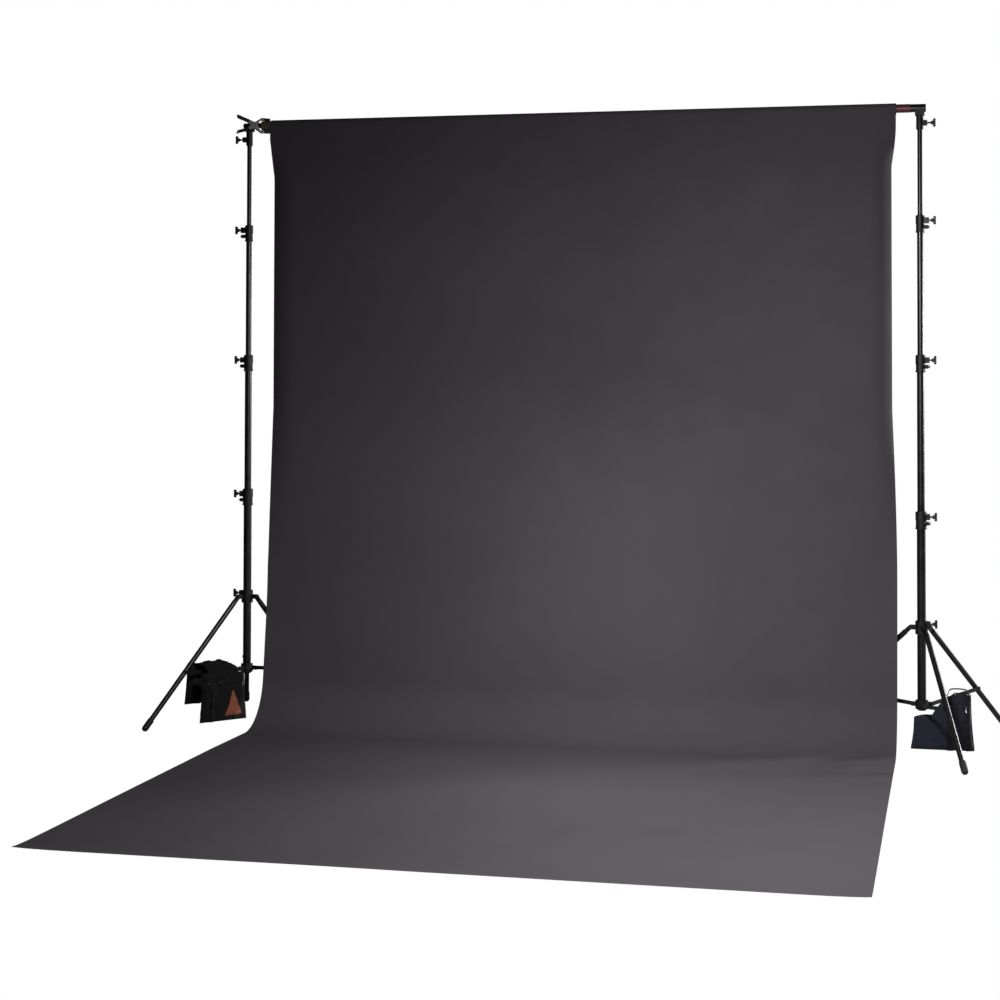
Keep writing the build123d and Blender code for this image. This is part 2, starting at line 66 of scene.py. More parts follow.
# ---------------- materials
class Surface:
    """A Principled material with short calls for the procedural layers that it needs."""

    def __init__(self, name, roughness, metallic=0.0, specular=0.5):
        self.material = bpy.data.materials.new(name)
        self.material.use_nodes = True
        self.nodes = self.material.node_tree.nodes
        self.links = self.material.node_tree.links
        self.shader = self.nodes["Principled BSDF"]
        self.shader.inputs["Metallic"].default_value = metallic
        self.shader.inputs["Roughness"].default_value = roughness
        self.shader.inputs["Specular IOR Level"].default_value = specular
        self.place = self.nodes.new("ShaderNodeTexCoord").outputs["Object"]
        self.normal = None

    def stretched(self, scale, location=(0, 0, 0)):
        mapping = self.nodes.new("ShaderNodeMapping")
        mapping.inputs["Scale"].default_value = scale
        mapping.inputs["Location"].default_value = location
        self.links.new(self.place, mapping.inputs["Vector"])
        return mapping.outputs["Vector"]

    def texture(self, kind, scale, place=None):
        node = self.nodes.new(f"ShaderNodeTex{kind}")
        node.inputs["Scale"].default_value = scale
        self.links.new(place or self.place, node.inputs["Vector"])
        return node

    def noise(self, scale, detail=3.0, place=None):
        texture = self.texture("Noise", scale, place)
        texture.inputs["Detail"].default_value = detail
        return texture.outputs["Fac"]

    def voronoi(self, scale):
        return self.texture("Voronoi", scale).outputs["Distance"]

    def wave(self, scale, direction, place=None, kind="BANDS", distortion=0.0):
        texture = self.texture("Wave", scale, place)
        texture.wave_type = kind
        if kind == "BANDS":
            texture.bands_direction = direction
        else:
            texture.rings_direction = direction
        texture.inputs["Distortion"].default_value = distortion
        return texture.outputs["Fac"]

    def join(self, first, second, operation):
        node = self.nodes.new("ShaderNodeMath")
        node.operation = operation
        self.links.new(first, node.inputs[0])
        self.links.new(second, node.inputs[1])
        return node.outputs["Value"]

    def ramp(self, factor, stops):
        """A colour ramp with two stops of (position, colour)."""
        node = self.nodes.new("ShaderNodeValToRGB")
        elements = node.color_ramp.elements
        for element, (position, colour) in zip(elements, stops):
            element.position = position
            element.color = (*colour, 1.0)
        self.links.new(factor, node.inputs["Fac"])
        return node.outputs["Color"]

    def shades(self, factor, colour, dark, light, stops=(0.3, 0.7)):
        """The colour from its dark to its light share between two stops of the factor."""
        return self.ramp(factor, zip(stops, (shade(colour, dark), shade(colour, light))))

    def mask(self, factor, stops, amounts):
        """A grey that goes from one amount to the other between two stops of the factor."""
        return self.ramp(factor, zip(stops, [(amount,) * 3 for amount in amounts]))

    def tint(self, below, factor, colour):
        node = self.nodes.new("ShaderNodeMix")
        node.data_type = "RGBA"
        self.links.new(factor, node.inputs["Factor"])
        self.links.new(below, node.inputs["A"])
        node.inputs["B"].default_value = (*colour, 1.0)
        return node.outputs["Result"]

    def colour(self, output):
        self.links.new(output, self.shader.inputs["Base Color"])

    def rough(self, factor, low, high):
        node = self.nodes.new("ShaderNodeMapRange")
        node.inputs["From Min"].default_value = 0.3
        node.inputs["From Max"].default_value = 0.7
        node.inputs["To Min"].default_value = low
        node.inputs["To Max"].default_value = high
        self.links.new(factor, node.inputs["Value"])
        self.links.new(node.outputs["Result"], self.shader.inputs["Roughness"])

    def bump(self, height, distance, strength):
        node = self.nodes.new("ShaderNodeBump")
        node.inputs["Strength"].default_value = strength
        node.inputs["Distance"].default_value = distance
        self.links.new(height, node.inputs["Height"])
        if self.normal is not None:
            self.links.new(self.normal, node.inputs["Normal"])
        self.normal = node.outputs["Normal"]
        self.links.new(self.normal, self.shader.inputs["Normal"])

    def set(self, **values):
        """Sets sockets of the shader; an underscore stands for the space in a socket's name."""
        for key, value in values.items():
            self.shader.inputs[key.replace("_", " ")].default_value = value


def shade(colour, factor):
    return tuple(channel * factor for channel in colour)


PAPER_COLOUR = (0.0405, 0.0352, 0.0408)


def paper_material(name):
    """Matt dyed paper: fibres, faint cloudiness and a soft tooth."""
    paper = Surface(name, roughness=0.86, specular=0.28)
    cloud = paper.noise(1.1, detail=4.0)
    fibre = paper.noise(420.0, detail=5.0, place=paper.stretched((1.0, 1.6, 1.6)))
    base = paper.shades(cloud, PAPER_COLOUR, 0.90, 1.10)
    fleck = paper.mask(fibre, (0.35, 0.75), (0.0, 0.5))
    paper.colour(paper.tint(base, fleck, shade(PAPER_COLOUR, 1.6)))
    paper.rough(paper.noise(6.0), 0.80, 0.92)
    paper.bump(fibre, 0.00035, 0.6)
    paper.bump(paper.noise(24.0, detail=2.0), 0.0012, 0.22)
    return paper


def roll_material():
    """The wound paper: as the sheet, with the layers showing as fine rings on its ends."""
    roll = paper_material("wound_paper")
    centred = roll.stretched((1, 1, 1), location=(0, -ROLL_AXIS.y, -ROLL_AXIS.z))
    roll.bump(roll.wave(480.0, "X", place=centred, kind="RINGS", distortion=0.4), 0.0003, 0.5)
    return roll.material


def enamel_material(name, colour, roughness, along):
    """Satin enamel on tube: fine drawn streaks along the tube, scuffs and dull patches."""
    enamel = Surface(name, roughness=roughness, specular=0.42)
    streak = enamel.noise(90.0, detail=4.0, place=enamel.stretched(along))
    patch = enamel.noise(14.0, detail=5.0)
    scuff = enamel.noise(160.0, detail=6.0, place=enamel.stretched((1.0, 1.0, 0.25)))
    base = enamel.shades(streak, colour, 0.82, 1.22)
    worn = enamel.mask(scuff, (0.68, 0.74), (0.0, 0.55))
    enamel.colour(enamel.tint(base, worn, shade(colour, 3.2)))
    enamel.rough(patch, roughness * 0.85, roughness * 1.35)
    enamel.bump(streak, 0.00015, 0.5)
    enamel.set(Coat_Weight=0.10, Coat_Roughness=0.25)
    return enamel.material


def casting_material(name, colour):
    """Powder-coated casting with its orange-peel texture."""
    coat = Surface(name, roughness=0.5, specular=0.36)
    peel = coat.voronoi(900.0)
    patch = coat.noise(30.0, detail=4.0)
    coat.colour(coat.shades(patch, colour, 0.8, 1.25))
    coat.rough(patch, 0.42, 0.62)
    coat.bump(peel, 0.0004, 0.55)
    coat.bump(coat.noise(60.0), 0.0006, 0.25)
    return coat.material


def moulded_material(name, colour, roughness=0.5, grain=1400.0):
    """Moulded plastic or rubber with a fine spark-eroded grain."""
    plastic = Surface(name, roughness=roughness, specular=0.45)
    patch = plastic.noise(45.0)
    plastic.colour(plastic.shades(patch, colour, 0.85, 1.2))
    plastic.rough(patch, roughness * 0.85, roughness * 1.15)
    plastic.bump(plastic.noise(grain, detail=2.0), 0.0002, 0.5)
    return plastic.material


def plated_material(name, colour, roughness, metallic):
    """Zinc-plated or brushed steel: mottled spangle and hairline scratches."""
    steel = Surface(name, roughness=roughness, metallic=metallic)
    spangle = steel.voronoi(140.0)
    hair = steel.noise(320.0, detail=6.0, place=steel.stretched((0.2, 3.0, 3.0)))
    steel.colour(steel.shades(spangle, colour, 0.84, 1.08, stops=(0.1, 0.6)))
    steel.rough(hair, roughness * 0.75, roughness * 1.35)
    steel.bump(hair, 0.0001, 0.5)
    return steel.material


def board_material():
    """Spiral-wound cardboard: slanting seams and kraft fibres."""
    board = Surface("core_board", roughness=0.8, specular=0.25)
    kraft = (0.10, 0.072, 0.048)
    fibre = board.noise(380.0, detail=6.0, place=board.stretched((0.5, 2.0, 2.0)))
    seam = board.wave(9.0, "DIAGONAL")
    base = board.shades(fibre, kraft, 0.8, 1.15)
    edge = board.mask(seam, (0.02, 0.06), (0.6, 0.0))
    board.colour(board.tint(base, edge, shade(kraft, 0.45)))
    board.bump(fibre, 0.0003, 0.5)
    return board.material


def woven_material(name, colour, threads, depth, sheen, ribs=1.0):
    """Woven nylon: crossed threads at a wave scale, uneven dye and a faint sheen."""
    cloth = Surface(name, roughness=0.78, specular=0.3)
    warp = cloth.wave(threads, "X", distortion=0.3)
    weft = cloth.wave(threads * ribs, "Z", distortion=0.3)
    cross = cloth.wave(threads, "Y", distortion=0.3)
    weave = cloth.join(cloth.join(warp, cross, "MULTIPLY"), weft, "ADD")
    dye = cloth.noise(22.0, detail=5.0)
    base = cloth.shades(dye, colour, 0.72, 1.32)
    thread = cloth.mask(weave, (0.2, 1.0), (0.0, 0.4))
    cloth.colour(cloth.tint(base, thread, shade(colour, 1.9)))
    cloth.bump(weave, depth, 0.7)
    cloth.bump(cloth.noise(48.0), 0.0022, 0.45)
    cloth.set(Sheen_Weight=sheen, Sheen_Roughness=0.45)
    return cloth.material


NYLON_THREADS = 312.5

MATERIALS = {                 # by slot
    "stand_tube": enamel_material("stand_enamel", (0.0026, 0.0026, 0.0032), 0.34, (3.0, 3.0, 0.15)),
    "bar_tube": enamel_material("bar_enamel", (0.0026, 0.0026, 0.0030), 0.36, (0.15, 3.0, 3.0)),
    "brace_steel": enamel_material("brace_enamel", (0.0032, 0.0032, 0.0038), 0.38, (1.0, 1.0, 1.0)),
    "stand_casting": casting_material("casting_coat", (0.0024, 0.0024, 0.0028)),
    "knob_plastic": moulded_material("knob_plastic", (0.0026, 0.0026, 0.0030), 0.5),
    "bar_sleeve": moulded_material("sleeve_plastic", (0.085, 0.014, 0.028), 0.42, 900.0),
    "paper": paper_material("sheet_paper").material,
    "core_board": board_material(),
    "clamp_metal": plated_material("clamp_plate", (0.20, 0.20, 0.21), 0.45, 0.35),
    "bright_steel": plated_material("bright_steel", (0.24, 0.24, 0.25), 0.32, 0.9),
    "bag_black": woven_material("black_nylon", (0.0024, 0.0022, 0.0027), NYLON_THREADS, 0.0005, 0.02),
    "bag_webbing": woven_material("webbing", (0.0032, 0.0032, 0.0038), 178.57, 0.0009, 0.02, ribs=0.5),
    "bag_navy": woven_material("navy_nylon", (0.0078, 0.0082, 0.0165), NYLON_THREADS, 0.0005, 0.04),
}
WOUND_PAPER = roll_material()
RUBBER = moulded_material("black_rubber", (0.0034, 0.0034, 0.0034), 0.72, 700.0)
PATCH = woven_material("plain_patch", (0.20, 0.062, 0.034), NYLON_THREADS, 0.0004, 0.05)
THREAD = moulded_material("seam_thread", (0.016, 0.016, 0.022), 0.7, 2000.0)


def dress_cad_nodes():
    """Gives every CAD node that stays visible the material of its slot."""
    slots = {entry["node"]: entry["material_slot"] for entry in frame["record"]["subparts"]}
    for name, node in frame["nodes"].items():
        node.data.materials.clear()
        node.data.materials.append(WOUND_PAPER if name == "paper_wound" else MATERIALS[slots[name]])
        for polygon in node.data.polygons:
            polygon.use_smooth = True
        node.data.set_sharp_from_angle(angle=math.radians(32))


# ---------------- mesh helpers
def unit(value):
    """The value kept between 0 and 1."""
    return max(0.0, min(1.0, value))


def make_piece(name, points, faces, body, slot, material=None):
    """A mesh piece that rides on a body, in its slot's material unless another is given."""
    mesh = bpy.data.meshes.new(name)
    mesh.from_pydata([tuple(point) for point in points], [], faces)
    mesh.validate()
    mesh.update()
    for polygon in mesh.polygons:
        polygon.use_smooth = True
    mesh.materials.append(material or MATERIALS[slot])
    piece = bpy.data.objects.new(name, mesh)
    bpy.context.scene.collection.objects.link(piece)
    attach(piece, body)
    return piece


def outward_normals(piece):
    """Turns all faces of a closed piece outward."""
    shell = bmesh.new()
    shell.from_mesh(piece.data)
    bmesh.ops.recalc_face_normals(shell, faces=shell.faces)
    shell.to_mesh(piece.data)
    shell.free()


def loft(name, rings, body, slot, material=None, closed=False, soften=0):
    """Joins equal rings of points into a skin, and caps the two ends unless it closes on itself."""
    count = len(rings[0])
    points = [point for ring in rings for point in ring]
    faces = []
    spans = len(rings) if closed else len(rings) - 1
    for i in range(spans):
        low = i * count
        high = ((i + 1) % len(rings)) * count
        for j in range(count):
            k = (j + 1) % count
            faces.append((low + j, low + k, high + k, high + j))
    if not closed:
        faces.append(tuple(range(count - 1, -1, -1)))
        faces.append(tuple(range((len(rings) - 1) * count, len(rings) * count)))
    piece = make_piece(name, points, faces, body, slot, material)
    outward_normals(piece)
    piece.data.set_sharp_from_angle(angle=math.radians(40))
    if soften:
        smooth = piece.modifiers.new("smooth", "SUBSURF")
        smooth.levels = soften
        smooth.render_levels = soften
    return piece


def double_grid(rows, columns):
    """Faces of a closed thin sheet whose points are two grids of rows by columns cells."""
    wide = columns + 1
    shift = (rows + 1) * wide
    faces = []
    for i in range(rows):
        for j in range(columns):
            a = i * wide + j
            faces.append((a, a + 1, a + wide + 1, a + wide))
            faces.append((a + shift, a + shift + wide, a + shift + wide + 1, a + shift + 1))
        for edge in (0, columns):
            a = i * wide + edge
            faces.append((a, a + wide, a + wide + shift, a + shift))
    last = rows * wide
    for j in range(columns):
        faces.append((j, j + shift, j + 1 + shift, j + 1))
        faces.append((last + j, last + j + 1, last + j + 1 + shift, last + j + shift))
    return faces


def heading(path, index):
    """Unit direction of an open path at one of its points."""
    return (path[min(index + 1, len(path) - 1)] - path[max(index - 1, 0)]).normalized()


def basis(direction):
    """Two unit vectors square to direction and to each other."""
    direction = direction.normalized()
    side = UP.cross(direction)
    if side.length < 1e-4:
        side = Vector((0, 1, 0)).cross(direction)
    side.normalize()
    return side, direction.cross(side)


def lathe(name, start, direction, profile, body, slot, material=None, segments=40, hollow=0.0):
    """Turns a profile of (distance, radius) about the line from start; hollow is its bore's radius."""
    direction = direction.normalized()
    side, up = basis(direction)
    if hollow:
        profile = list(profile) + [(profile[-1][0], hollow), (profile[0][0], hollow)]
    rings = []
    for distance, radius in profile:
        centre = start + direction * distance
        ring = []
        for k in range(segments):
            angle = 2 * math.pi * k / segments
            ring.append(centre + (side * math.cos(angle) + up * math.sin(angle)) * radius)
        rings.append(ring)
    return loft(name, rings, body, slot, material, closed=bool(hollow))


def rounded_box(half_wide, half_tall, corner, steps=5):
    """Outline of a rounded rectangle as (across, up) pairs."""
    outline = []
    for quarter in range(4):
        middle_a = (half_wide - corner) * (1 if quarter in (0, 3) else -1)
        middle_b = (half_tall - corner) * (1 if quarter in (0, 1) else -1)
        for step in range(steps + 1):
            angle = math.pi / 2 * (quarter + step / steps)
            outline.append((middle_a + corner * math.cos(angle), middle_b + corner * math.sin(angle)))
    return outline


def sweep(name, path, across, sections, body, slot, material=None, soften=0):
    """A bar along path: sections holds one (half width, half height, corner) for each path point."""
    rings = []
    for index, point in enumerate(path):
        up = across.cross(heading(path, index)).normalized()
        rings.append([point + across * a + up * b for a, b in rounded_box(*sections[index])])
    return loft(name, rings, body, slot, material, soften=soften)


def smooth_path(points, steps):
    """A Catmull-Rom curve through given points."""
    points = [points[0] * 2 - points[1]] + list(points) + [points[-1] * 2 - points[-2]]
    path = []
    for i in range(1, len(points) - 2):
        a, b, c, d = points[i - 1:i + 3]
        for step in range(steps):
            t = step / steps
            path.append(0.5 * (b * 2 + (c - a) * t + (a * 2 - b * 5 + c * 4 - d) * t * t
                               + (b * 3 - a - c * 3 + d) * t ** 3))
    path.append(points[-2])
    return path


def tube_along(name, path, radius, body, slot, closed=False):
    """A round wire or piping along a path."""
    sides = 10
    rings = []
    up = UP
    for index, point in enumerate(path):
        if closed:
            along = (path[(index + 1) % len(path)] - path[index - 1]).normalized()
        else:
            along = heading(path, index)
        side = up.cross(along)
        if side.length < 0.2:
            side = Vector((0.3, 1, 0)).cross(along)
        side.normalize()
        up = along.cross(side)
        rings.append([point + (side * math.cos(2 * math.pi * k / sides)
                               + up * math.sin(2 * math.pi * k / sides)) * radius
                      for k in range(sides)])
    return loft(name, rings, body, slot, closed=closed)


# ---------------- paper sheet
SHEET_GAP = 0.00045           # middle of the paper from the wound surface
SHEET_T = 0.0005
SHEET_COLUMNS = 136
SHEET_ROW = 0.022             # about the length of one row of cells
LEAN_START = 0.750            # heights where the paper begins to lean, leans fully and begins to bend
LEAN_FULL = 0.450
BEND_START = 0.200
LEAN = math.radians(8.0)
CURL_WIDTH = 0.12             # strip of each free edge that curls back where the paper hangs
CURL_ANGLE = {-1: math.radians(38.0), 1: math.radians(59.0)}
CURL_STARTS = 0.024           # shares of the way along the paper from the roll to the floor
CURL_GROWS = 0.06
CURL_ENDS = 0.70
CURL_FADES = 0.25


def sheet_sections():
    """The sheet's middle line as pieces of (length, function of distance to forward, height)."""
    wrap_r = ROLL_R + SHEET_GAP
    lean_r = (LEAN_START - LEAN_FULL) / math.sin(LEAN)      # radii of the lean and of the bend
    rest_z = SHEET_T / 2
    bend_r = (BEND_START - rest_z) / (1 - math.sin(LEAN))
    lean_end = wrap_r + lean_r * (1 - math.cos(LEAN))
    fall = (LEAN_FULL - BEND_START) / math.cos(LEAN)
    bend_from = lean_end + fall * math.sin(LEAN)
    bend_to = bend_from + bend_r * math.cos(LEAN)
    front = ROLL_AXIS.y - SHEET_LOW.y

    def hang(d):
        return wrap_r, ROLL_AXIS.z - d

    def start_lean(d):
        angle = d / lean_r
        return wrap_r + lean_r * (1 - math.cos(angle)), LEAN_START - lean_r * math.sin(angle)

    def lean_straight(d):
        return lean_end + d * math.sin(LEAN), LEAN_FULL - d * math.cos(LEAN)

    def bend(d):
        angle = LEAN + d / bend_r
        forward = bend_r * (math.cos(LEAN) - math.cos(angle))
        return bend_from + forward, BEND_START - bend_r * (math.sin(angle) - math.sin(LEAN))

    def floor(d):
        return bend_to + d, rest_z

    return [(ROLL_AXIS.z - LEAN_START, hang), (lean_r * LEAN, start_lean),
            (fall, lean_straight), (bend_r * (math.pi / 2 - LEAN), bend), (front - bend_to, floor)]


def sheet_wave(x, distance, floor_from, length):
    """Small forward waves of the hanging paper and lifts of the lying paper."""
    hung = unit(distance / 0.6) * unit((floor_from - distance) / 0.3)
    lying = unit((distance - floor_from) / 0.4)
    slow = noise.noise(Vector((x * 1.1, distance * 0.35, 3.7)))
    fine = noise.noise(Vector((x * 3.1, distance * 0.5, 9.1)))
    rise = noise.noise(Vector((x * 1.3, distance * 1.2, 21.0)))
    to_side = PAPER_W / 2 - abs(x)
    side_curl = 0.0035 * math.exp(-to_side / 0.05)
    edge_lift = 0.006 * math.exp(-(length - distance) / 0.06) + 0.004 * math.exp(-to_side / 0.06)
    out = hung * (0.0035 * slow + 0.0012 * fine + side_curl)
    up = lying * (0.0016 * max(rise, 0.0) + edge_lift)
    return out, up


def edge_curl(x, distance, floor_from):
    """The hanging paper's free edges curl back: shift along X, and how far back."""
    fall = distance / floor_from
    under_roll = unit((fall - CURL_STARTS) / CURL_GROWS)
    above_sweep = unit((CURL_ENDS - fall) / CURL_FADES)
    side = -1 if x < 0 else 1
    angle = CURL_ANGLE[side] * (under_roll * above_sweep) ** 0.8
    along = CURL_WIDTH - (PAPER_W / 2 - abs(x))
    if angle < 0.01 or along <= 0:
        return 0.0, 0.0
    radius = CURL_WIDTH / angle
    turned = along / radius
    return -side * (along - radius * math.sin(turned)), radius * (1 - math.cos(turned))


def build_sheet():
    """The free paper: from the roll's front down, over the bend and along the floor."""
    sections = sheet_sections()
    length = sum(part for part, _ in sections)
    floor_from = length - sections[-1][0]
    line = []
    travelled = 0.0
    for part, at in sections:
        steps = max(6, round(part / SHEET_ROW))
        for step in range(steps):
            line.append((travelled + part * step / steps, *at(part * step / steps)))
        travelled += part
    line.append((length, *sections[-1][1](sections[-1][0])))
    middle_x = (SHEET_LOW.x + SHEET_HIGH.x) / 2
    rows = []
    for index, (distance, forward, height) in enumerate(line):
        before = line[max(index - 1, 0)]
        after = line[min(index + 1, len(line) - 1)]
        run = Vector((after[1] - before[1], after[2] - before[2])).normalized()
        normal = Vector((0, run.y, run.x))          # towards the subject's side
        row = []
        for column in range(SHEET_COLUMNS + 1):
            x = -PAPER_W / 2 + PAPER_W * column / SHEET_COLUMNS
            out, up = sheet_wave(x, distance, floor_from, length)
            aside, back = edge_curl(x, distance, floor_from)
            point = Vector((middle_x + x + aside, ROLL_AXIS.y - forward - out + back, height + up))
            row.append((point, normal))
        rows.append(row)
    points = []
    for sign in (0.5, -0.5):
        for row in rows:
            points += [point + normal * (sign * SHEET_T) for point, normal in row]
    faces = double_grid(len(rows) - 1, SHEET_COLUMNS)
    sheet = make_piece("free_paper_sheet", points, faces, "base", "paper")
    outward_normals(sheet)
    sheet.data.set_sharp_from_angle(angle=math.radians(50))
    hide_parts("paper_sheet")
    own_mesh(sheet)


# ---------------- stand details
SCREW_R = 0.0034
THREAD_R = 0.0040
THREAD_PITCH = 0.0012
SCREW_SHORT = 0.018           # from the screw's outer end to the knob's
BOLT_BELOW = 0.047            # the clamp bolt under its collar's top, and out from the tube's axis
BOLT_OUT = 0.0342
BOOT_R = 0.0133
BOOT_RIBS = 6


def build_knob(side, which, body):
    """A moulded T-knob with its threaded screw, in place of the plain CAD knob."""
    joint = JOINTS[f"{side}_knob_{which}_turn"]
    out = OUTWARD[side]
    centre = Vector(joint["pos_m"])
    low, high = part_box(f"{side}_knob_{which}")
    reach = max(abs(low.x - centre.x), abs(high.x - centre.x))
    inner = min(abs(low.x - centre.x), abs(high.x - centre.x))
    screw = [(inner, 0.0), (inner, SCREW_R)]
    threads = int((reach - SCREW_SHORT - inner) / THREAD_PITCH)
    for turn in range(threads):
        at = inner + 0.0005 + turn * THREAD_PITCH
        screw += [(at, SCREW_R), (at + 0.0005, THREAD_R)]
    screw += [(reach - SCREW_SHORT, 0.0036), (reach - SCREW_SHORT, 0.0)]
    name = f"{side}_knob_{which}"
    lathe(f"{name}_screw", centre, out, screw, body, "bright_steel", segments=20)
    boss = [(reach - 0.019, 0.0), (reach - 0.019, 0.0068), (reach - 0.0175, 0.0078),
            (reach - 0.012, 0.0078), (reach - 0.009, 0.0070), (reach - 0.004, 0.0066), (reach - 0.004, 0.0)]
    lathe(f"{name}_boss", centre, out, boss, body, "knob_plastic")
    half = (high.z - low.z) / 2
    path = []
    sections = []
    for step in range(17):
        along = -1 + 2 * step / 16
        waist = 0.84 + 0.16 * along * along
        tip = math.sqrt(max(0.0, 1 - max(0.0, (abs(along) - 0.80) / 0.20) ** 2))
        size = max(waist * tip, 0.12)
        path.append(centre + out * (reach - 0.0055) + Vector((0, 0, half * along)))
        sections.append((0.0070 * size, 0.0060 * size, 0.0036 * size))
    bar = sweep(f"{name}_bar", path, Vector((0, 1, 0)), sections, body, "knob_plastic", soften=1)
    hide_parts(f"{side}_knob_{which}")


def hexagon_bolt(name, start, direction, radius, height, body):
    """A chamfered hexagon head with a washer under it."""
    side, up = basis(direction)
    rings = []
    for distance, share in ((0, 0.0), (0, 1.0), (height * 0.75, 1.0), (height, 0.86), (height, 0.0)):
        centre = start + direction * distance
        rings.append([centre + (side * math.cos(math.pi / 3 * k) + up * math.sin(math.pi / 3 * k))
                      * radius * share for k in range(6)])
    loft(name, rings, body, "bright_steel")
    washer = [(-0.0012, radius * 0.5), (-0.0012, radius * 1.35), (0.0, radius * 1.35)]
    lathe(f"{name}_washer", start, direction, washer, body, "bright_steel", hollow=radius * 0.5)


def build_collar_details(side, number, body):
    """The bush at a collar's mouth and its clamp bolt."""
    low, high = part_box(f"{side}_collar_{number}")
    tube_low, tube_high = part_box(f"{side}_tube_{number + 1}")
    axis = (tube_low + tube_high) / 2
    tube_r = (tube_high.x - tube_low.x) / 2
    top = Vector((axis.x, axis.y, high.z))
    bush = [(-0.0005, tube_r + 0.0042), (0.0012, tube_r + 0.0042), (0.0026, tube_r + 0.0030),
            (0.0026, tube_r + 0.0005)]
    lathe(f"{side}_collar_{number}_bush", top, UP, bush, body, "knob_plastic", hollow=tube_r + 0.0004)
    bolt_at = Vector((axis.x, axis.y, high.z - BOLT_BELOW)) + OUTWARD[side] * BOLT_OUT
    hexagon_bolt(f"{side}_collar_{number}_bolt", bolt_at, OUTWARD[side], 0.0058, 0.0042, body)


def build_foot(side, number):
    """A ribbed rubber boot over a leg's end."""
    name = f"{side}_leg_{number}"
    foot = min((vertex.co.copy() for vertex in frame["nodes"][name].data.vertices), key=lambda co: co.z)
    hinge = Vector(JOINTS[f"{name}_hinge"]["pos_m"])
    foot.z = 0.013
    along = (hinge - foot).normalized()
    turns = [math.pi / 2 * k / 8 for k in range(9)]
    profile = [(-BOOT_R * math.cos(turn), BOOT_R * math.sin(turn)) for turn in turns]
    for rib in range(BOOT_RIBS):
        at = 0.004 + rib * 0.0055
        profile += [(at, 0.0132), (at + 0.001, 0.0137), (at + 0.003, 0.0137), (at + 0.004, 0.0132)]
    profile += [(0.0425, 0.0135), (0.0440, 0.0126), (0.0440, 0.0112)]
    lathe(f"{name}_boot", foot, along, profile, f"{name}_body", "knob_plastic", RUBBER)


def build_stand(side):
    """The collars' details, the knobs, the boots and the plug under the base tube."""
    homes = {1: "base", 2: "stage_2", 3: "stage_3"}
    for number, body in homes.items():
        build_collar_details(side, number, body)
    for which in ("1", "2", "3", "head", "yoke"):
        build_knob(side, which, f"{side}_knob_{which}_turn")
    for number in (1, 2, 3):
        build_foot(side, number)
    low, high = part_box(f"{side}_base_tube")
    centre = Vector(((low.x + high.x) / 2, (low.y + high.y) / 2, low.z))
    plug = [(-0.003, 0.0), (-0.003, 0.0145), (-0.001, 0.0172), (0.0005, 0.0172), (0.0005, 0.0)]
    lathe(f"{side}_base_plug", centre, UP, plug, "base", "knob_plastic")


# ---------------- spring clamp
CLAMP_ARMS = {                # body, side of the core, half the width of the rubber on it
    "clamp_upper_arm": ("clamp_jaw", 1, 0.0086),
    "clamp_lower_arm": ("stage_4", -1, 0.0110),
}
GRIP_T = 0.0068               # half thicknesses of the rubber
PAD_T = 0.0056
PAD_LENGTH = 0.034
COIL_R = 0.0056
COIL_WIDTH = 0.0072
COIL_TURNS = 4
COIL_WIRE_R = 0.0008


def clamp_frame():
    """The clamp's pivot and its outward and across directions."""
    joint = JOINTS["clamp_hinge"]
    across = Vector(joint["axis"]).normalized()
    return Vector(joint["pos_m"]), across.cross(UP).normalized(), across


def build_grip(node, body, flip, half_wide):
    """The ribbed rubber grip of one handle, rounded off at its tip."""
    pivot, out, across = clamp_frame()
    path = []
    sections = []
    for step in range(15):
        share = step / 14
        forward = 0.027 + 0.055 * share
        height = 0.0165 + 0.0180 * share
        path.append(pivot + out * forward + UP * (flip * height))
        tip = math.sqrt(max(0.06, 1 - max(0.0, (share - 0.86) / 0.14) ** 2))
        rib = 0.0004 if step % 2 else 0.0
        sections.append(((half_wide + rib) * tip, (GRIP_T + rib) * tip, 0.0042 * tip))
    sweep(f"{node}_grip", path, across, sections, body, "knob_plastic", RUBBER, soften=1)


def build_pad(node, body, flip, half_wide):
    """The rubber pad between one jaw and the core."""
    pivot, out, across = clamp_frame()
    core_low, core_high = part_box("paper_core")
    rise = (core_high.z - core_low.z) / 2 + PAD_T + 0.0006
    path = []
    sections = []
    for step in range(9):
        share = step / 8
        path.append(pivot + out * (-0.0715 + PAD_LENGTH * share) + UP * (flip * rise))
        tip = math.sqrt(max(0.2, 1 - (2 * share - 1) ** 6))
        sections.append(((half_wide + 0.0012) * tip, PAD_T, 0.0022))
    sweep(f"{node}_pad", path, across, sections, body, "knob_plastic", RUBBER)


def build_coil():
    """The torsion spring round the pivot, with its two legs."""
    pivot, out, across = clamp_frame()
    steps = COIL_TURNS * 24
    coil = []
    for step in range(steps + 1):
        angle = 2 * math.pi * step / 24
        slide = COIL_WIDTH * (step / steps - 0.5)
        coil.append(pivot + across * slide + (out * math.cos(angle) + UP * math.sin(angle)) * COIL_R)
    start, end = coil[0], coil[-1]
    coil = [start + out * 0.024 + UP * 0.004, start + out * 0.010] + coil
    coil += [end + out * 0.010 - UP * 0.001, end + out * 0.024 - UP * 0.005]
    spring = tube_along("clamp_coil", coil, COIL_WIRE_R, "stage_4", "bright_steel")
    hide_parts("clamp_spring")


def build_clamp():
    for node, (body, flip, half_wide) in CLAMP_ARMS.items():
        build_grip(node, body, flip, half_wide)
        build_pad(node, body, flip, half_wide)
    build_coil()


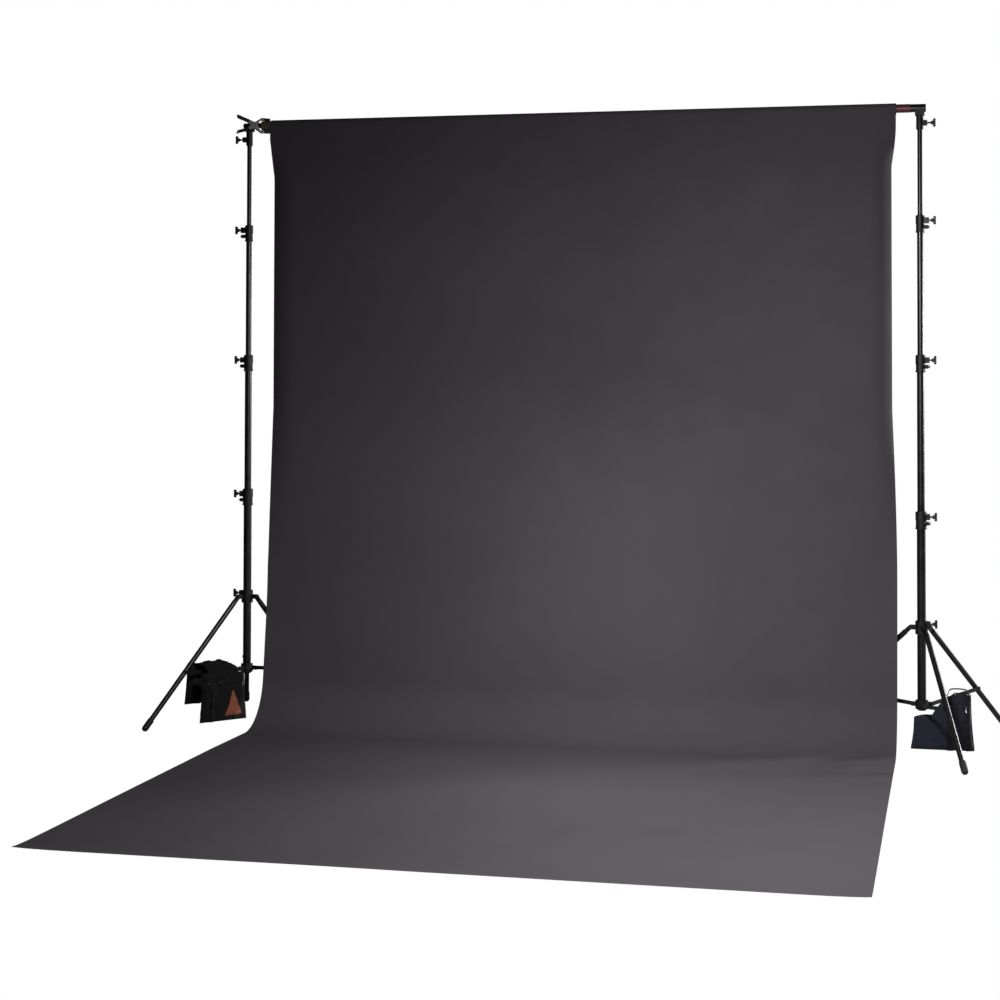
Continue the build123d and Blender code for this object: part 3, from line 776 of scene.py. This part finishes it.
# ---------------- sandbags
BAG_BODY = "base"             # the bags rest on the floor
BAG_SIZES = {                 # length, thickness, height
    "sandbag_left_front": (0.225, 0.085, 0.215),
    "sandbag_left_rear": (0.225, 0.080, 0.175),
    "sandbag_right": (0.250, 0.118, 0.236),
}
SADDLE_HALF = 0.0725          # half the saddle cloth's width
POUCH_COLUMNS = 44            # cells of a pouch's panels along and up
POUCH_ROWS = 36
CLOTH_FRAMES = 14
CLOTH_REACH = 0.006           # the furthest that the cloth run moves a point
LOWEST = 0.0005               # lowest height of a pouch's cloth
WEBBING_HALF = 0.0125
PIPING_R = 0.0021
STITCH_R = 0.0005
STITCH_GAP = 0.006            # from one stitch to the next


class Pouch:
    """A sand-filled fabric pouch: local X along it, local Y through it, local Z up."""

    def __init__(self, node, length_axis, seed, slot, low_end):
        low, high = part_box(node)
        self.name = node
        self.origin = (low + high) / 2
        self.origin.z = low.z
        self.along = length_axis.normalized()
        self.through = UP.cross(self.along)
        self.front = 1 if self.through.y < 0 else -1      # the face on the subject's side
        self.length, self.thick, self.height = BAG_SIZES[node]
        self.seed = seed
        self.slot = slot
        self.low_end = low_end        # height at the start of the length, as a share of the full height
        self.moves = {}               # how far the settled cloth has moved, by grid place
        self.pieces = []

    def top(self, u):
        """Height of the top seam along the pouch."""
        rise = unit((u + 0.34) / 0.80) ** 0.8
        return self.height * (self.low_end + (1 - self.low_end) * rise)

    def point(self, u, v, face, lift=0.0):
        """A point of the surface: u and v run from -1 to 1, face is 1 towards local Y and -1 away."""
        fill = max((1 - abs(u) ** 3.2) * (1 - abs(v) ** 3.6), 0.0) ** 0.42
        belly = 0.86 - 0.22 * v - 0.10 * v * v
        where = Vector((u * 1.7 + self.seed, v * 1.5, face * 0.8))
        lumps = 0.085 * noise.noise(where * 1.6) + 0.05 * noise.noise(where * 3.9)
        crease = 0.035 * math.sin(9 * u + 2.5 * noise.noise(where * 1.3)) * max(0.0, v) ** 1.5
        half = self.thick / 2 * min(fill * (belly + lumps + crease), 1.0) + lift
        narrow = (1 - 0.055 * (v + 1) - 0.02 * (1 - v * v)) * (1 - 0.01 * (1 - abs(v)))
        slump = 0.008 * noise.noise(Vector((u * 1.4 + self.seed, 4.0, 0.0))) * (v + 1)
        droop = 0.0112 * abs(u) ** 3 * (v + 1) / 2
        up = self.top(u) * (v + 1) / 2 + slump - droop
        place = self.origin + self.along * (u * self.length / 2 * narrow) + self.through * (face * half)
        return place + UP * max(up, LOWEST) + self.settled(u, v, face)

    def settled(self, u, v, face):
        """How far the cloth has moved at a place, between the nearest four grid points."""
        if not self.moves:
            return Vector((0, 0, 0))
        across = min((u + 1) / 2 * POUCH_COLUMNS, POUCH_COLUMNS - 0.001)
        upward = min((v + 1) / 2 * POUCH_ROWS, POUCH_ROWS - 0.001)
        i, j = int(across), int(upward)
        a, b = across - i, upward - j
        low = self.moves[i, j, face].lerp(self.moves[i + 1, j, face], a)
        high = self.moves[i, j + 1, face].lerp(self.moves[i + 1, j + 1, face], a)
        return low.lerp(high, b)

    def build(self):
        """The shell, settled by a short cloth run, and the piping round its seam."""
        wide, tall = POUCH_COLUMNS, POUCH_ROWS
        grid = [(i, j, face) for face in (1, -1) for j in range(tall + 1) for i in range(wide + 1)]

        def shared(i, j, face):
            on_seam = i in (0, wide) or j in (0, tall)
            return i, j, 0 if on_seam else face

        points = []
        index = {}
        faces = []
        for i, j, face in grid:
            key = shared(i, j, face)
            if key not in index:
                index[key] = len(points)
                points.append(self.point(2 * i / wide - 1, 2 * j / tall - 1, face))
        for i, j, face in grid:
            if i < wide and j < tall:
                around = ((i, j), (i + 1, j), (i + 1, j + 1), (i, j + 1))
                corners = [index[shared(a, b, face)] for a, b in around]
                faces.append(tuple(corners if face < 0 else corners[::-1]))
        shell = make_piece(f"{self.name}_shell", points, faces, BAG_BODY, self.slot)
        outward_normals(shell)
        steps = self.settle(shell)
        self.moves = {key: steps[index[shared(*key)]] for key in grid}
        smooth = shell.modifiers.new("smooth", "SUBSURF")
        smooth.levels = 1
        smooth.render_levels = 1
        rim = [(2 * k / 40 - 1, -1) for k in range(40)] + [(1, 2 * k / 32 - 1) for k in range(32)]
        rim += [(-u, -v) for u, v in rim]
        seam = [self.point(u, v, 1) + Vector((0, 0, 0.0012)) for u, v in rim]
        piping = tube_along(f"{self.name}_piping", seam, PIPING_R, BAG_BODY, "bag_webbing", closed=True)
        self.pieces += [shell, piping]
        return shell

    def settle(self, shell):
        """A short cloth run puffs the panels between their seams; returns how far each point moved."""
        kept = [vertex.co.copy() for vertex in shell.data.vertices]
        pins = shell.vertex_groups.new(name="seam")
        for vertex in shell.data.vertices:
            local = vertex.co - self.origin
            aside = local.dot(self.along)
            near_side = abs(aside) > self.length * 0.44
            near_end = local.z < 0.012 or local.z > self.top(2 * aside / self.length) * 0.93
            if near_side or near_end:
                pins.add([vertex.index], 1.0, "REPLACE")
        cloth = shell.modifiers.new("cloth", "CLOTH")
        settings = cloth.settings
        settings.quality = 5
        settings.mass = 0.2
        settings.vertex_group_mass = "seam"
        settings.use_pressure = True
        settings.uniform_pressure_force = 2.5
        settings.tension_stiffness = 12
        settings.bending_stiffness = 0.4
        settings.shrink_min = -0.03
        settings.effector_weights.gravity = 0.3
        scene = bpy.context.scene
        for step in range(1, CLOTH_FRAMES + 1):
            scene.frame_set(step)
        graph = bpy.context.evaluated_depsgraph_get()
        moved = [vertex.co.copy() for vertex in shell.evaluated_get(graph).data.vertices]
        shell.modifiers.remove(cloth)
        scene.frame_set(1)
        steps = []
        for vertex, old, new in zip(shell.data.vertices, kept, moved):
            step = new - old
            if step.length > CLOTH_REACH:
                step = step * (CLOTH_REACH / step.length)
            step.z = max(step.z, LOWEST - old.z)
            vertex.co = old + step
            steps.append(step)
        shell.data.update()
        return steps

    def band(self, name, line, half_wide, thickness, slot):
        """A flat tape laid on the surface along line, a list of (u, v, face)."""
        rings = []
        centres = [self.point(*place, lift=0.0009) for place in line]
        for index, centre in enumerate(centres):
            along = heading(centres, index)
            side = (self.through * line[index][2]).cross(along).normalized()
            normal = along.cross(side).normalized()
            outline = rounded_box(half_wide, thickness / 2, thickness * 0.45, steps=2)
            rings.append([centre + side * a + normal * b for a, b in outline])
        self.pieces.append(loft(f"{self.name}_{name}", rings, BAG_BODY, slot))

    def patch(self, name, u_middle, v_range, halves):
        """A tapered piece of cloth sewn flat on the front: halves are its low and high half widths."""
        cells = 14
        points = []
        for lift in (0.0022, 0.0003):
            for i in range(cells + 1):
                share = i / cells
                half = (halves[0] + (halves[1] - halves[0]) * share) / (self.length / 2)
                v = v_range[0] + (v_range[1] - v_range[0]) * share
                for j in range(cells + 1):
                    points.append(self.point(u_middle + half * (2 * j / cells - 1), v, self.front, lift))
        faces = double_grid(cells, cells)
        piece = make_piece(f"{self.name}_{name}", points, faces, BAG_BODY, "bag_webbing", PATCH)
        outward_normals(piece)
        self.pieces.append(piece)

    def stitches(self, name, line):
        """A row of short stitches along line."""
        path = [self.point(*place, lift=0.0016) for place in line]
        rise = self.through * (STITCH_R * line[0][2])
        points = []
        faces = []
        for start, end in zip(path, path[1:]):
            count = max(1, int((end - start).length / STITCH_GAP))
            for k in range(count):
                a = start.lerp(end, (k + 0.15) / count)
                b = start.lerp(end, (k + 0.72) / count)
                side = (b - a).normalized().cross(self.through).normalized() * STITCH_R
                base = len(points)
                for tip in (a, b):
                    points += [tip + side, tip + rise, tip - side, tip - rise]
                for n in range(4):
                    after = (n + 1) % 4
                    faces.append((base + n, base + after, base + 4 + after, base + 4 + n))
                faces.append((base + 3, base + 2, base + 1, base))
                faces.append((base + 4, base + 5, base + 6, base + 7))
        self.pieces.append(make_piece(f"{self.name}_{name}", points, faces, BAG_BODY, self.slot, THREAD))


def grab_handle(name, pouch, middle, half_span, rise):
    """A webbing loop over the pouch's top seam."""
    base = pouch.origin + pouch.along * (middle * pouch.length / 2) + UP * pouch.height
    knots = [(-half_span - 0.010, -0.034), (-half_span, -0.008), (-half_span * 0.78, rise * 0.7),
             (-half_span * 0.3, rise), (half_span * 0.3, rise * 0.97), (half_span * 0.78, rise * 0.66),
             (half_span, -0.008), (half_span + 0.010, -0.034)]
    path = smooth_path([base + pouch.along * a + UP * b for a, b in knots], 6)
    sections = [(WEBBING_HALF, 0.0011, 0.0009)] * len(path)
    sweep(name, path, pouch.through, sections, BAG_BODY, "bag_webbing")


def dress_pouch(pouch, zip_height, band_places, zip_range):
    """Webbing bands with their stitching, and a zip with its pull, on one pouch."""
    face = pouch.front
    for number, u in enumerate(band_places):
        rise = [(u, -0.985 + 1.96 * k / 28, face) for k in range(29)]
        pouch.band(f"band_{number}", rise, WEBBING_HALF, 0.0018, "bag_webbing")
        for letter, offset in (("a", -0.085), ("b", 0.085)):
            line = [(u + offset, v, face) for _, v, _ in rise[1:-1]]
            pouch.stitches(f"band_{number}_stitch_{letter}", line)
    start, end = zip_range
    zip_line = [(start + (end - start) * k / 36, zip_height, face) for k in range(37)]
    pouch.band("zip_tape", zip_line, 0.0085, 0.0014, pouch.slot)
    pouch.band("zip_teeth", zip_line, 0.0021, 0.0040, "knob_plastic")
    pull = [(end - 0.08, zip_height - 0.02 - 0.035 * k, face) for k in range(7)]
    pouch.band("zip_pull", pull, 0.0035, 0.0052, "bright_steel")


def bag_pouch(node, axis, seed, slot, low_end=1.0):
    """A pouch that stands in its CAD node's place, along axis."""
    pouch = Pouch(node, axis, seed, slot, low_end)
    shell = pouch.build()
    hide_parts(node)
    return pouch


def build_saddle(front, rear, across):
    """The cloth that joins the two pouches over the stand's brace, with its bound edges."""
    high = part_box("sandbag_left_saddle")[1]
    front_top = front.origin + UP * (front.height - 0.010)
    rear_top = rear.origin + UP * (rear.height - 0.010)
    peak = high.z - 0.004
    spans = 18
    points = []
    for sign in (1, -1):
        for i in range(spans + 1):
            share = i / spans
            level = front_top.lerp(rear_top, share)
            ends = 1 - abs(2 * share - 1) ** 2.6
            for j in range(spans + 1):
                aside = -1 + 2 * j / spans
                lump = 0.0065 * math.sin(7.5 * aside + 1.5 + 1.2 * share)
                fine = 0.006 * noise.noise(Vector((aside * 3.2, share * 3.0, 5.0)))
                sag = 0.010 * aside ** 4 + lump + fine
                height = level.z + (peak - sag - level.z) * max(ends, 0.0) ** 0.5
                points.append(Vector((level.x, level.y, height + sign * 0.0009))
                              + across * (aside * SADDLE_HALF * (1 - 0.05 * ends)))
    cloth = make_piece("saddle_cloth", points, double_grid(spans, spans), BAG_BODY, "bag_black")
    outward_normals(cloth)
    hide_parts("sandbag_left_saddle")
    pieces = [cloth]
    for number, edge in enumerate((0, spans)):
        line = [points[i * (spans + 1) + edge] for i in range(spans + 1)]
        pieces.append(tube_along(f"saddle_binding_{number}", line, 0.0022, BAG_BODY, "bag_webbing"))
    return pieces


def build_sandbags():
    """The saddle bag on the left stand and the bag on the right stand."""
    radial = Vector(JOINTS["left_leg_1_hinge"]["axis"]).cross(UP)
    front = bag_pouch("sandbag_left_front", -radial, 5.2, "bag_black")
    rear = bag_pouch("sandbag_left_rear", -radial, 6.9, "bag_black")
    right = bag_pouch("sandbag_right", Vector((1, 0, 0)), 8.7, "bag_navy", low_end=0.59)
    dress_pouch(front, 0.62, (-0.60,), (-0.9, 0.9))
    dress_pouch(rear, 0.60, (-0.52, 0.52), (-0.9, 0.9))
    dress_pouch(right, 0.60, (0.24, 0.84), (0.30, 0.92))
    grab_handle("sandbag_right_handle", right, 0.50, 0.040, 0.012)
    front.patch("plain_patch", 0.26, (-0.74, 0.18), (0.046, 0.004))
    saddle = build_saddle(front, rear, radial.normalized())
    # Each piece of the saddle bag gets a mesh of its own.
    for piece in front.pieces + rear.pieces + saddle:
        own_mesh(piece)


# ---------------- stage
CAMERA_AT = Vector((1.598, -7.444, 1.524))
CAMERA_YAW = -0.2246
CAMERA_PITCH = -0.0259
CAMERA_ROLL = 0.0018
CAMERA_LENS = 72.8
CAMERA_SHIFT = -0.180
WORLD_LIGHT = 0.055
LEAST_GLINT = 0.4             # a lamp must be wider than this to show in reflections
LAMPS = {                     # place, target, width, power
    "key": ((0.85, -1.62, 2.20), (1.10, -0.41, 0.12), 0.5, 108.0),
    "low": ((0.20, -0.03, 1.09), (0.09, 0.59, -0.25), 0.3, 12.0),
    "rim": ((4.4, 2.8, 1.7), (0.9, 1.0, 1.3), 0.6, 160.0),
}
FLOOR_HALF = 30.0
FLOOR_Z = -0.0006


def build_camera():
    """The camera at the same height, distance and angle as the reference view."""
    yaw, pitch, roll = CAMERA_YAW, CAMERA_PITCH, CAMERA_ROLL
    level = Vector((math.sin(yaw), math.cos(yaw), 0))
    forward = level * math.cos(pitch) - Vector((0, 0, math.sin(pitch)))
    right = Vector((math.cos(yaw), -math.sin(yaw), 0))
    up = Vector((0, 0, math.cos(pitch))) + level * math.sin(pitch)
    right, up = (right * math.cos(roll) + up * math.sin(roll),
                 up * math.cos(roll) - right * math.sin(roll))
    data = bpy.data.cameras.new("camera")
    data.lens = CAMERA_LENS
    data.sensor_width = 36.0
    data.shift_y = CAMERA_SHIFT
    data.clip_end = 200.0
    camera = bpy.data.objects.new("camera", data)
    turn = Matrix((right, up, -forward)).transposed().to_4x4()
    camera.matrix_world = Matrix.Translation(CAMERA_AT) @ turn
    bpy.context.scene.collection.objects.link(camera)
    bpy.context.scene.camera = camera


def area_light(name, at, target, width, power):
    """A round lamp that looks from one place at another."""
    data = bpy.data.lights.new(name, "AREA")
    data.shape = "DISK"
    data.size = width
    data.energy = power
    lamp = bpy.data.objects.new(name, data)
    lamp.location = at
    lamp.visible_camera = False
    lamp.visible_glossy = width > LEAST_GLINT
    lamp.rotation_euler = (Vector(target) - Vector(at)).to_track_quat("-Z", "Y").to_euler()
    bpy.context.scene.collection.objects.link(lamp)


def show_camera(tree, lit, seen, output):
    """Lets the camera see one shader while the other lights the scene."""
    mix = tree.nodes.new("ShaderNodeMixShader")
    path = tree.nodes.new("ShaderNodeLightPath")
    tree.links.new(path.outputs["Is Camera Ray"], mix.inputs["Fac"])
    tree.links.new(lit, mix.inputs[1])
    tree.links.new(seen, mix.inputs[2])
    tree.links.new(mix.outputs["Shader"], output.inputs["Surface"])


def pale_floor():
    """A floor that looks plain white and gives little light back."""
    pale = Surface("studio_floor", roughness=0.9, specular=0.0)
    pale.set(Base_Color=(0.35, 0.35, 0.35, 1.0))
    glow = pale.nodes.new("ShaderNodeEmission")
    show_camera(pale.material.node_tree, pale.shader.outputs["BSDF"], glow.outputs["Emission"],
                pale.nodes["Material Output"])
    return pale.material


def pale_world():
    """A surround that looks plain white and lights the scene faintly."""
    world = bpy.data.worlds.new("studio")
    world.use_nodes = True
    nodes = world.node_tree.nodes
    lit = nodes["Background"]
    seen = nodes.new("ShaderNodeBackground")
    for background, strength in ((lit, WORLD_LIGHT), (seen, 1.0)):
        background.inputs["Color"].default_value = (1.0, 1.0, 1.0, 1.0)
        background.inputs["Strength"].default_value = strength
    show_camera(world.node_tree, lit.outputs["Background"], seen.outputs["Background"],
                nodes["World Output"])
    return world


def build_stage():
    """The floor, the surround and the lamps."""
    corners = [(x * FLOOR_HALF, y * FLOOR_HALF, FLOOR_Z) for x, y in ((-1, -1), (1, -1), (1, 1), (-1, 1))]
    mesh = bpy.data.meshes.new("studio_floor")
    mesh.from_pydata(corners, [], [(0, 1, 2, 3)])
    mesh.materials.append(pale_floor())
    floor = bpy.data.objects.new("studio_floor", mesh)
    bpy.context.scene.collection.objects.link(floor)
    bpy.context.scene.world = pale_world()
    bpy.context.scene.view_settings.view_transform = "Standard"
    for name, (at, target, width, power) in LAMPS.items():
        area_light(name, at, target, width, power)


def main():
    build_camera()
    build_stage()
    dress_cad_nodes()
    build_sheet()
    for side in OUTWARD:
        build_stand(side)
    build_clamp()
    build_sandbags()


main()
